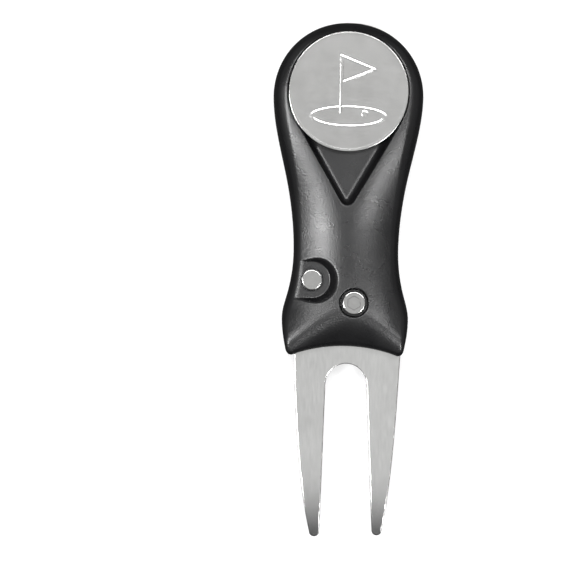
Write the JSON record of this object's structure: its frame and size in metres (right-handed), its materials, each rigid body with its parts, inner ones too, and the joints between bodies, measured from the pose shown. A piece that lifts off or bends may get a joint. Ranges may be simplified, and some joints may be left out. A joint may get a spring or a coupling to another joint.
{
  "type": "folding divot repair tool",
  "caption": "Golf divot repair tool with a two-pronged steel fork that folds into a waisted black handle, a release button, and a magnetic ball marker in its round head.",
  "frame": {"origin": "middle of the open tool's length and width, on the plane that its flat back lies on", "axes": "+Z out of the front face with the marker, +Y from the fork towards the round head, +X to the right seen from the front"},
  "size_m": [0.0314, 0.1078, 0.012],
  "materials": {
    "soft_touch_case": "soft-touch matt black with a very fine grain",
    "fork_steel": "satin stainless steel",
    "marker_nickel": "satin nickel plate",
    "bright_steel": "bright turned steel",
    "spring_steel": "oiled spring steel",
    "washer_nylon": "natural nylon",
    "bush_brass": "turned brass",
    "magnet_nickel": "nickel-plated magnet"
  },
  "bodies": {
    "handle": {"front_shell": "soft_touch_case", "back_shell": "soft_touch_case", "marker_magnet": "magnet_nickel", "pivot_screw": "bright_steel", "pivot_sleeve": "bright_steel", "pivot_bush": "bush_brass", "front_washer": "washer_nylon", "back_washer": "washer_nylon", "torsion_spring": "spring_steel", "button_spring": "spring_steel", "case_screw_1": "spring_steel", "case_screw_2": "spring_steel", "case_screw_3": "spring_steel"},
    "swinging_fork": {"fork": "fork_steel"},
    "push_button": {"release_button": "bright_steel", "lock_plate": "spring_steel", "lock_pin": "spring_steel"},
    "marker": {"ball_marker": "marker_nickel"}
  },
  "joints": [
    {"name": "fork_swing", "type": "hinge", "parent": "handle", "child": "swinging_fork", "pos_m": [0.00181, -0.00483, 0.0053], "axis": [0, 0, -1], "range_deg": [0, 165], "stiffness_Nm_per_rad": 0.0104, "springref_deg": -34.38, "deforming": ["torsion_spring"]},
    {"name": "button_press", "type": "slide", "parent": "handle", "child": "push_button", "axis": [0, 0, -1], "range_m": [0, 0.001], "stiffness_N_per_m": 1000, "springref_m": -0.0006, "deforming": ["button_spring"]},
    {"name": "marker_lift", "type": "slide", "parent": "handle", "child": "marker", "axis": [0, 0, 1], "range_m": [0, 0.015]}
  ]
}
